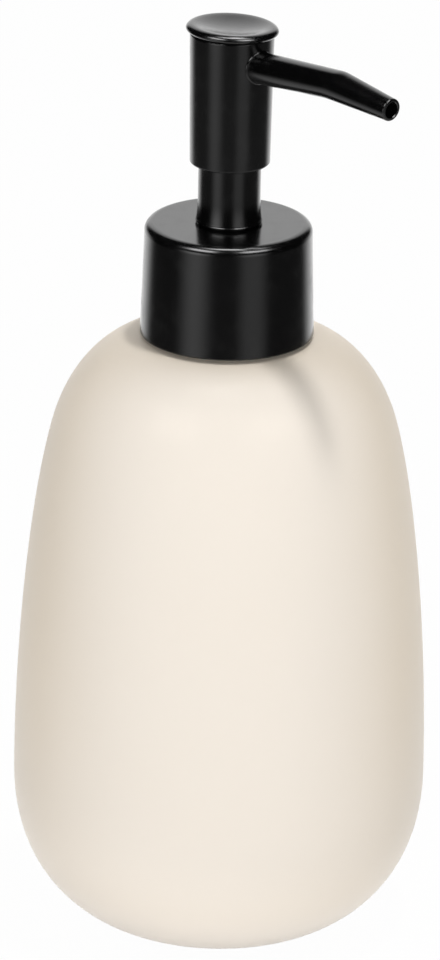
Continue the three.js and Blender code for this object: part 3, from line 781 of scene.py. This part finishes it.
def build_spring():
    """The return spring, with a closed coil at each end."""
    low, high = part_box("return_spring")
    wire = 0.45 * MM
    coil = high.x - wire
    turns = 7
    closed_pitch = 1.0 * MM
    bottom = low.z + wire
    open_pitch = (high.z - low.z - 2 * wire - 2 * closed_pitch) / (turns - 2)

    def place(turn, x, y):
        opened = min(max(turn - 1, 0), turns - 2)
        rise = closed_pitch * (turn - opened) + open_pitch * opened
        return coil + x, bottom + rise + y
    spring = coiled("coil_spring", circle(wire, 12), turns, 40 * turns, place)
    fit(spring, "pump_body", "spring_steel", "return_spring")
    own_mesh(spring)


def build_dip_tube():
    """The dip tube, with a slanted lower end."""
    radius, bottom, top = span("dip_tube")
    bore = radius - 1.0 * MM
    slant = math.tan(math.radians(30))
    tube = lathe("suction_tube", slab(bore, radius, bottom, top), 64, fillet=0.15 * MM)
    for vertex in tube.data.vertices:
        if vertex.co.z < bottom + MM:
            vertex.co.z += (radius - vertex.co.x) * slant
    fit(tube, "pump_body", "natural_plastic", "dip_tube")


def build_plunger():
    """The fluted pin inside the stem, and the piston on it."""
    seat, bottom, top = span("stem_core")
    piston, piston_bottom, piston_top = span("piston")
    gap = 0.1 * MM
    pin, journal, seat_height = 2.6 * MM, 2.1 * MM, 4.4 * MM
    step = span("stem")[1] - gap
    core = lathe("piston_pin", [
        (0, bottom), (pin, bottom), (pin, bottom + seat_height), (seat, bottom + seat_height),
        (seat, piston_bottom - gap), (pin, piston_bottom - gap), (pin, step), (journal, step),
        (journal, top), (0, top),
    ], 64, fillet=0.12 * MM, closed=False)
    inner, outer, half = 1.3 * MM, 3.4 * MM, 0.5 * MM
    section = [(inner, -half), (outer, -half), (outer, half), (inner, half)]
    flutes = [upright("flute", section, piston_bottom - gap, top + MM, FULL_TURN * i / 3) for i in range(3)]
    fit(cut(core, *flutes), "plunger", "natural_plastic", "stem_core")
    waist, bore, lip = piston - 0.6 * MM, 2.8 * MM, 1.25 * MM
    seal = lathe("piston_seal", [
        (bore, piston_bottom), (waist, piston_bottom), (piston, piston_bottom + lip / 2),
        (piston, piston_bottom + lip), (waist, piston_bottom + 1.5 * lip),
        (waist, piston_top - 1.5 * lip), (piston, piston_top - lip), (piston, piston_top - lip / 2),
        (waist, piston_top), (bore, piston_top),
    ], 96, fillet=0.12 * MM, steps=3)
    fit(seal, "piston_body", "seal_plastic", "piston")


def build_stem():
    """The hollow rod under the head. Its shoulder stops it under the guide."""
    shoulder, bottom, top = span("stem")
    bore, radius = 2.3 * MM, 3.8 * MM
    stop = span("guide_sleeve")[1] - 0.3 * MM
    rod = lathe("hollow_rod", [
        (bore, bottom), (radius, bottom), (radius, stop - 2.5 * MM), (shoulder, stop - 1.25 * MM),
        (shoulder, stop), (radius, stop), (radius, top), (bore, top),
    ], 64, fillet=0.15 * MM, steps=3)
    fit(rod, "pump_head", "black_plastic", "stem")


# ---- head

SPOUT_DROP = 5.85 * MM  # from the head tube's top to where the spout's axis starts


def spout_axis(settings):
    """The spout's first axis: a point on the head's axis, and its direction."""
    height = span("head_tube")[2] - SPOUT_DROP
    return Vector((0, 0, height)), Vector((math.cos(settings.rise), 0, math.sin(settings.rise)))


def spout_cutter(settings, radius, start, end):
    """A round bar along the spout's first axis."""
    origin = spout_axis(settings)[0]
    bar = turned("bar", slab(0, radius, start, end), 64)
    turn = Matrix.Rotation(math.pi / 2 - settings.rise, 4, "Y")
    bar.data.transform(Matrix.Translation(origin) @ turn)
    return bar


def build_hub(spout):
    """The head's core, with the channel from stem to spout."""
    flange, bottom, top = span("head_hub")
    channel, grip, radius, thick = 2.3 * MM, 4.0 * MM, 4.9 * MM, 0.9 * MM
    stem_top = span("stem")[2] + 0.1 * MM
    roof = spout_axis(spout)[0].z + 1.15 * MM
    hub = lathe("head_core", [
        (0, roof), (channel, roof), (channel, stem_top), (grip, stem_top), (grip, bottom),
        (radius, bottom), (radius, top - thick), (flange, top - thick), (flange, top), (0, top),
    ], 96, fillet=0.15 * MM, closed=False, steps=3)
    cut(hub, spout_cutter(spout, channel, 0.8 * MM, 6 * MM))
    fit(hub, "pump_head", "natural_plastic", "head_hub")


def build_head_tube(pump, spout):
    """The head's outer tube, with a hole for the spout."""
    top_radius, bottom, top = span("head_tube")
    top += HEAD_RISE
    low_radius = top_radius - 0.37 * MM
    bore = 6.6 * MM
    tube = lathe("head_barrel", [
        (bore, bottom, 0.15 * MM), (low_radius, bottom, pump.head_edge),
        (top_radius, top, pump.head_edge), (bore, top, 0.15 * MM),
    ], 192)
    cut(tube, spout_cutter(spout, spout.root_radius + 0.04 * MM, 4 * MM, 12 * MM))
    fit(tube, "pump_head", "black_plastic", "head_tube")


def build_thumb_disc(settings):
    """The dished press pad, which leans a little, and its plug."""
    radius, bottom, crest = span("thumb_disc")
    head_top = span("head_tube")[2]
    seat = head_top + HEAD_RISE + 0.03 * MM
    plug, neck = 6.4 * MM, 7.2 * MM
    centre = crest - settings.disc_dish
    arcs = ((90, 50, settings.disc_round), (50, 30, settings.disc_slope), (30, -80, settings.disc_lip))
    edge = []
    x, y = 0.0, crest
    for start, end, bend in arcs:
        pivot = (x - bend * math.cos(math.radians(start)), y - bend * math.sin(math.radians(start)))
        edge += arc(pivot, bend, start, end, 10)[:-1]
        x, y = arc(pivot, bend, end, end, 1)[0]
    reach = max(point[0] for point in edge)
    edge = [(radius - reach + x, y) for x, y in edge]
    face, underside = edge[0][0], edge[-1][1]
    outline = rounded([
        (0, bottom), (plug, bottom, 0.3 * MM), (plug, seat), (neck, seat, 0.06 * MM),
        (neck, underside), (edge[-1][0], underside),
    ], closed=False)[:-1]
    outline += edge[::-1]
    outline += bezier((face - 0.1 * MM, crest), (face - settings.disc_round, crest), (radius * 0.5, centre),
                      (0, centre), 24)
    outline += [(0, centre)]
    disc = turned("press_pad", outline, 192)
    pivot = Vector((0, 0, head_top))
    azimuth = settings.disc_lean_azimuth
    lean = Matrix.Rotation(settings.disc_lean, 4, Vector((-math.sin(azimuth), math.cos(azimuth), 0)))
    disc.data.transform(Matrix.Translation(pivot) @ lean @ Matrix.Translation(-pivot))
    fit(disc, "pump_head", "black_plastic", "thumb_disc")


SPOUT_SEGMENTS = 96
SIDEWAYS = Vector((0, 1, 0))


def root_bead(settings, origin, first, up):
    """A thin bead round the spout, where it comes out of the head tube's wall."""
    wall = span("head_tube")[0] + 0.02 * MM
    loops = []
    for across, along in circle(1.0, SPOUT_SEGMENTS):
        loop = []
        for out, forward in circle(settings.root_bead, 12):
            radius = settings.root_radius + out
            y, h = radius * across, radius * along
            reach = (math.sqrt(wall**2 - y**2) - up.x * h) / first.x + forward
            loop.append(origin + first * reach + SIDEWAYS * y + up * h)
        loops.append(loop)
    return skin("bead", loops)


def build_spout(settings):
    """Straight lines run from the root to a slanted crease and on to the tip; the crease is softened."""
    origin, first = spout_axis(settings)
    up = first.cross(SIDEWAYS)
    turn = Matrix.Rotation(settings.bend, 3, SIDEWAYS)
    last, last_up = turn @ first, turn @ up
    bend_at, reach = settings.first_length, settings.last_length
    crease = origin + first * bend_at
    root_start, nipple_start, nipple = 6.8 * MM, 3.6 * MM, 2.1 * MM
    edge, lip, lip_depth = 0.3 * MM, settings.bore_radius + 0.12 * MM, 0.12 * MM

    def ring(radius, start, lift):
        """Points round an axis, from a place on it and the vector that lifts them above it."""
        return [start + SIDEWAYS * y + lift * h for y, h in circle(radius, SPOUT_SEGMENTS)]

    def on_first(s, radius):
        return ring(radius, origin + first * s, up)

    def on_crease(radius):
        return [crease + first * settings.crease_slant * h + SIDEWAYS * y + up * h
                for y, h in circle(radius, SPOUT_SEGMENTS)]

    def on_last(s, radius):
        return ring(radius, crease + last * s, last_up)

    def between(a, b, share):
        return [p.lerp(q, share) for p, q in zip(a, b)]

    root, bend, tip = (on_first(root_start, settings.root_radius), on_crease(settings.bend_radius),
                       on_last(reach - edge, settings.tip_radius))
    before, after = 1 - settings.crease_round / bend_at, settings.crease_round / reach
    rows = [on_first(nipple_start, settings.bore_radius), on_first(nipple_start, nipple),
            on_first(root_start, nipple), root]
    rows += [between(root, bend, before * k / 8) for k in range(1, 9)]
    approach, exit_row = rows[-1], between(bend, tip, after)
    for k in range(1, 8):
        t = k / 8
        rows.append(between(between(approach, bend, t), between(bend, exit_row, t), t))
    rows += [between(bend, tip, after + (1 - after) * k / 6) for k in range(7)]
    rim = settings.tip_radius - edge
    rows += [on_last(reach - edge + r, z) for z, r in arc((rim, 0), edge, 15, 90, 5)]
    rows += [on_last(reach, lip), on_last(reach - lip_depth, settings.bore_radius),
             on_crease(settings.bore_radius)]
    spout = join(skin("bent_spout", rows), root_bead(settings, origin, first, up))
    fit(spout, "pump_head", "black_plastic", "spout")


# ---- studio

def direction(azimuth, elevation):
    """Towards a place that far round from the front, and that far up."""
    level = math.cos(elevation)
    return Vector((math.sin(azimuth) * level, -math.cos(azimuth) * level, math.sin(elevation)))


def add_camera(settings):
    """The camera, which looks at a point near the bottle's axis."""
    azimuth, roll = settings.azimuth, settings.roll
    towards = direction(azimuth, settings.pitch)
    right = Vector((math.cos(azimuth), math.sin(azimuth), 0))
    up = towards.cross(right)
    aim = Vector((0, 0, settings.aim_height)) + right * settings.aim_offset
    rolled_right = right * math.cos(roll) + up * math.sin(roll)
    rolled_up = up * math.cos(roll) - right * math.sin(roll)
    data = bpy.data.cameras.new("camera")
    data.sensor_width = 36.0
    data.lens = settings.lens
    data.clip_end = 50.0
    camera = new_object("camera", data)
    turn = Matrix((rolled_right, rolled_up, towards)).transposed().to_4x4()
    camera.matrix_world = Matrix.Translation(aim + towards * settings.distance) @ turn
    bpy.context.scene.camera = camera


def add_soft_light(name, azimuth, elevation, power, distance=1.4, size=0.9):
    """A square light that faces the bottle's middle and isn't mirrored in it. Angles are in degrees."""
    middle = Vector((0, 0, 0.09))
    data = bpy.data.lights.new(name, "AREA")
    data.shape = "SQUARE"
    data.size = size
    data.energy = power
    light = new_object(name, data)
    towards = direction(math.radians(azimuth), math.radians(elevation))
    light.location = middle + towards * distance
    light.rotation_euler = towards.to_track_quat("Z", "Y").to_euler()
    light.visible_glossy = False
    light.visible_camera = False


def add_floor():
    """A wide pale floor, nearly white to the camera, that keeps some of the bottle's shadow."""
    below_bottle = 0.1 * MM
    white_share = 0.975
    bm = bmesh.new()
    bmesh.ops.create_grid(bm, x_segments=8, y_segments=8, size=6.0)
    floor = mesh_object("floor", bm)
    floor.location.z = -below_bottle
    material, n = new_material("pale_floor")
    tone = n.mix(n.noise(3, 2), (0.92, 0.92, 0.915, 1), (0.94, 0.94, 0.94, 1))
    diffuse = n.add("BsdfDiffuse", {"Color": tone})
    glow = n.add("Emission", {"Color": (1, 1, 1, 1), "Strength": 1.0})
    both = n.add("MixShader")
    n.put(both.inputs[0], n.product(n.add("LightPath").outputs["Is Camera Ray"], white_share))
    n.put(both.inputs[1], diffuse.outputs[0])
    n.put(both.inputs[2], glow.outputs[0])
    finish_material(n, both)
    floor.data.materials.append(material)
    floor.visible_glossy = False


def mirrored_studio(n, settings, right, away, up):
    """What glossy surfaces mirror: backdrop, table, windows, side panels, overhead strip and lamp."""
    around = n.product(n.math("ARCTAN2", right, n.product(away, -1.0)), 180 / math.pi)
    aside = n.math("ABSOLUTE", around)
    backdrop = n.blend(n.ramp(up, -0.12, 0.12), n.ramp(aside, 118, 145), n.ramp(aside, 146, 163))
    backdrop = n.product(backdrop, n.ramp(up, 0.6, 0.85, settings.backdrop_gloss, 0.0))
    total = n.math("ADD", backdrop, n.ramp(up, -0.62, -0.25, settings.table_gloss, 0.0))

    low = n.product(n.ramp(up, -0.45, 0.04, 0.1, 1.0), n.fall(up, 0.1, 0.24))
    high = n.product(n.ramp(up, 0.48, 0.7), n.fall(up, 0.8, 0.87))
    for start, end, soft, profile, strength in (  # degrees round from the front, profile over height
        (-60, -29, 14, low, settings.window_gloss), (18, 51, 10, low, 0.6 * settings.window_gloss),
        (-67, -23, 9, high, settings.panel_gloss), (23, 65, 9, high, settings.panel_gloss),
        (-60, 30, 30, n.fall(up, 0.0, 0.3), settings.front_gloss),
    ):
        rise, fall = n.ramp(around, start - soft, start + soft), n.fall(around, end - soft, end + soft)
        total = n.math("ADD", total, n.product(rise, fall, n.product(profile, strength)))

    overhead = n.ramp(up, 0.5, 0.8)
    beside = n.math("ABSOLUTE", n.math("SUBTRACT", right, 0.08))
    behind = n.math("ABSOLUTE", away)
    strip = n.product(n.fall(beside, 0.15, 0.45), n.fall(behind, 0.06, 0.2), overhead, settings.top_gloss)
    darkest = 0.004
    total = n.math("ADD", n.math("ADD", total, strip), darkest)
    beside = n.math("POWER", n.math("SUBTRACT", right, 0.12), 2.0)
    behind = n.math("POWER", n.math("SUBTRACT", away, 0.23), 2.0)
    lamp = n.fall(n.math("SQRT", n.math("ADD", beside, behind)), 0.07, 0.14)
    return n.math("ADD", total, n.product(lamp, overhead, settings.lamp_gloss))


def add_world(settings):
    """White to the camera, soft all round for matte surfaces, and a studio for glossy ones.
    Directions are turned so that -Y points to the front and +X to its right."""
    world = bpy.data.worlds.new("studio")
    world.use_nodes = True
    bpy.context.scene.world = world
    n = Nodes(world.node_tree)
    path = n.add("LightPath")
    turned_to_front = n.add("Mapping", {
        "Vector": n.add("TexCoord").outputs["Generated"],
        "Rotation": (0, 0, -settings.azimuth),
    }, vector_type="POINT")
    axes = n.add("SeparateXYZ", {"Vector": turned_to_front.outputs[0]})
    right, away, up = axes.outputs["X"], axes.outputs["Y"], axes.outputs["Z"]
    mirrored = mirrored_studio(n, settings, right, away, up)
    matte = n.ramp(away, -1.0, 1.0, settings.ambient_front, settings.ambient_back, smooth=False)
    seen = n.math("MAXIMUM", path.outputs["Is Camera Ray"], path.outputs["Is Transmission Ray"])
    strength = n.blend(seen, n.blend(path.outputs["Is Glossy Ray"], matte, mirrored), 1.0)
    background = n.add("Background", {"Color": (1, 1, 1, 1), "Strength": strength})
    n.add("OutputWorld", {"Surface": background.outputs[0]})


def build_stage(settings):
    bpy.context.scene.view_settings.view_transform = "Standard"
    add_camera(settings)
    add_world(settings)
    add_floor()
    turn = math.degrees(settings.azimuth)
    add_soft_light("front_panel", turn, 4, settings.front_power)
    add_soft_light("left_panel", turn - 40, 20, settings.left_power)
    add_soft_light("side_panel", turn - 80, 4, settings.side_power)
    add_soft_light("right_panel", turn + 85, 4, settings.right_power)
    add_soft_light("top_panel", turn + 56, 80, settings.top_power, distance=1.2, size=0.08)


# ---- operators

class SOAPPUMP_OT_bottle(bpy.types.Operator):
    """Builds the stoneware bottle"""
    bl_idname = "soap_pump.bottle"
    bl_label = "Bottle"

    def execute(self, context):
        build_bottle(context.scene.soap_pump_bottle)
        return {"FINISHED"}


class SOAPPUMP_OT_neck(bpy.types.Operator):
    """Builds the threaded neck ring and its gasket"""
    bl_idname = "soap_pump.neck"
    bl_label = "Neck ring and gasket"

    def execute(self, context):
        build_neck()
        build_gasket()
        return {"FINISHED"}


class SOAPPUMP_OT_collar(bpy.types.Operator):
    """Builds the screw closure and the collar over it"""
    bl_idname = "soap_pump.collar"
    bl_label = "Closure and collar"

    def execute(self, context):
        build_closure()
        build_collar_shell(context.scene.soap_pump_pump)
        return {"FINISHED"}


class SOAPPUMP_OT_barrel(bpy.types.Operator):
    """Builds the pump's fixed parts: guide sleeve, housing, ball cage, dip tube and spring"""
    bl_idname = "soap_pump.barrel"
    bl_label = "Pump barrel"

    def execute(self, context):
        build_sleeve(context.scene.soap_pump_pump)
        build_housing()
        build_ball_cage()
        build_ball()
        build_dip_tube()
        build_spring()
        return {"FINISHED"}


class SOAPPUMP_OT_plunger(bpy.types.Operator):
    """Builds the moving parts inside the barrel: core, piston and stem"""
    bl_idname = "soap_pump.plunger"
    bl_label = "Plunger"

    def execute(self, context):
        build_plunger()
        build_stem()
        return {"FINISHED"}


class SOAPPUMP_OT_head(bpy.types.Operator):
    """Builds the head: hub, tube and press pad"""
    bl_idname = "soap_pump.head"
    bl_label = "Head"

    def execute(self, context):
        scene = context.scene
        build_hub(scene.soap_pump_spout)
        build_head_tube(scene.soap_pump_pump, scene.soap_pump_spout)
        build_thumb_disc(scene.soap_pump_pump)
        return {"FINISHED"}


class SOAPPUMP_OT_spout(bpy.types.Operator):
    """Builds the creased spout"""
    bl_idname = "soap_pump.spout"
    bl_label = "Spout"

    def execute(self, context):
        build_spout(context.scene.soap_pump_spout)
        return {"FINISHED"}


class SOAPPUMP_OT_stage(bpy.types.Operator):
    """Builds the floor, lights, world and camera"""
    bl_idname = "soap_pump.stage"
    bl_label = "Studio"

    def execute(self, context):
        build_stage(context.scene.soap_pump_stage)
        return {"FINISHED"}


OPERATORS = (
    SOAPPUMP_OT_bottle, SOAPPUMP_OT_neck, SOAPPUMP_OT_collar, SOAPPUMP_OT_barrel,
    SOAPPUMP_OT_plunger, SOAPPUMP_OT_head, SOAPPUMP_OT_spout, SOAPPUMP_OT_stage,
)
SETTINGS = {
    "soap_pump_bottle": SoapPumpBottleSettings,
    "soap_pump_pump": SoapPumpPumpSettings,
    "soap_pump_spout": SoapPumpSpoutSettings,
    "soap_pump_finish": SoapPumpFinishSettings,
    "soap_pump_stage": SoapPumpStageSettings,
}


class SOAPPUMP_PT_panel(bpy.types.Panel):
    """Lists the settings and the pieces to build"""
    bl_idname = "SOAPPUMP_PT_panel"
    bl_label = "Soap Pump Dispenser"
    bl_space_type = "VIEW_3D"
    bl_region_type = "UI"
    bl_category = "Soap Pump"

    def draw(self, context):
        for attribute, group in SETTINGS.items():
            box = self.layout.box()
            for key in group.__annotations__:
                box.prop(getattr(context.scene, attribute), key)
        for operator in OPERATORS:
            self.layout.operator(operator.bl_idname)


CLASSES = (*SETTINGS.values(), *OPERATORS, SOAPPUMP_PT_panel)


def register():
    for cls in CLASSES:
        bpy.utils.register_class(cls)
    for attribute, group in SETTINGS.items():
        setattr(bpy.types.Scene, attribute, PointerProperty(type=group))


def unregister():
    for attribute in SETTINGS:
        delattr(bpy.types.Scene, attribute)
    for cls in reversed(CLASSES):
        bpy.utils.unregister_class(cls)


def main():
    register()
    for operator in OPERATORS:
        group, name = operator.bl_idname.split(".")
        getattr(getattr(bpy.ops, group), name)()


if __name__ == "__main__":
    main()
